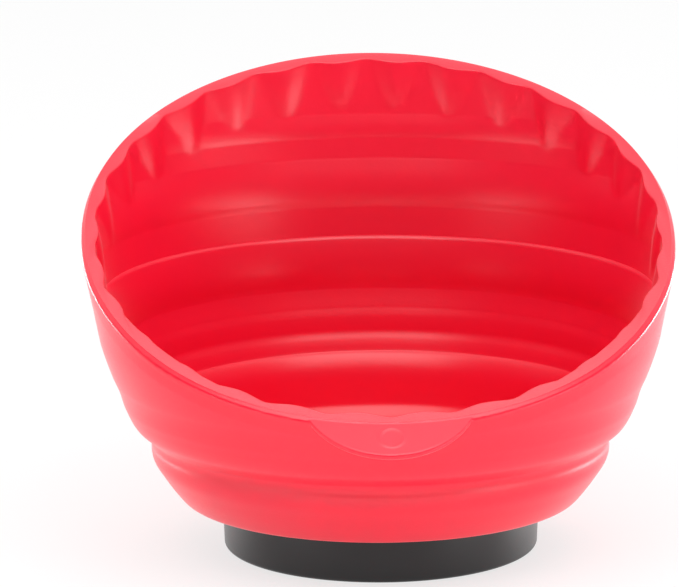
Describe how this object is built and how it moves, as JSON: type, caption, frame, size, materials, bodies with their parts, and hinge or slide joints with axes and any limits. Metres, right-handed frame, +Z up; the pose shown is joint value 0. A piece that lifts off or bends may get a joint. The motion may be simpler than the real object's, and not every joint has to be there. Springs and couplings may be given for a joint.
{
  "type": "magnetic parts tray",
  "caption": "Soft collapsible cup with a slanted, lobed rim and a front tab, standing on a round magnet base that holds it to steel and keeps small metal parts in the cup.",
  "frame": {"origin": "centre of the underside that the tray stands on", "axes": "+Z up along the cup's axis, +Y to the high back of the rim, the tab on the -Y side"},
  "size_m": [0.1524, 0.1624, 0.1143],
  "materials": {
    "cup_rubber": "satin moulded silicone rubber",
    "base_plastic": "satin moulded",
    "pad_rubber": "matte",
    "ferrite": "sintered, ground faces",
    "zinc_steel": "zinc plated"
  },
  "bodies": {
    "base": {"base_housing": "base_plastic", "foot_pad": "pad_rubber", "magnet_ring": "ferrite", "pole_plate": "zinc_steel", "clamp_plate": "zinc_steel", "clamp_screw": "zinc_steel", "hex_nut": "zinc_steel", "cup_lower": "cup_rubber"},
    "fold": {"cup_fold": "cup_rubber"},
    "upper": {"cup_upper": "cup_rubber"}
  },
  "joints": [
    {"name": "cup_press", "type": "slide", "parent": "base", "child": "upper", "axis": [0, 0, -1], "range_m": [0, 0.028]},
    {"name": "fold_roll", "type": "slide", "parent": "base", "child": "fold", "axis": [0, 0, -1], "range_m": [0, 0.014]}
  ],
  "couplings": [
    {"joint": "fold_roll", "follows": "cup_press", "ratio": 0.5}
  ]
}
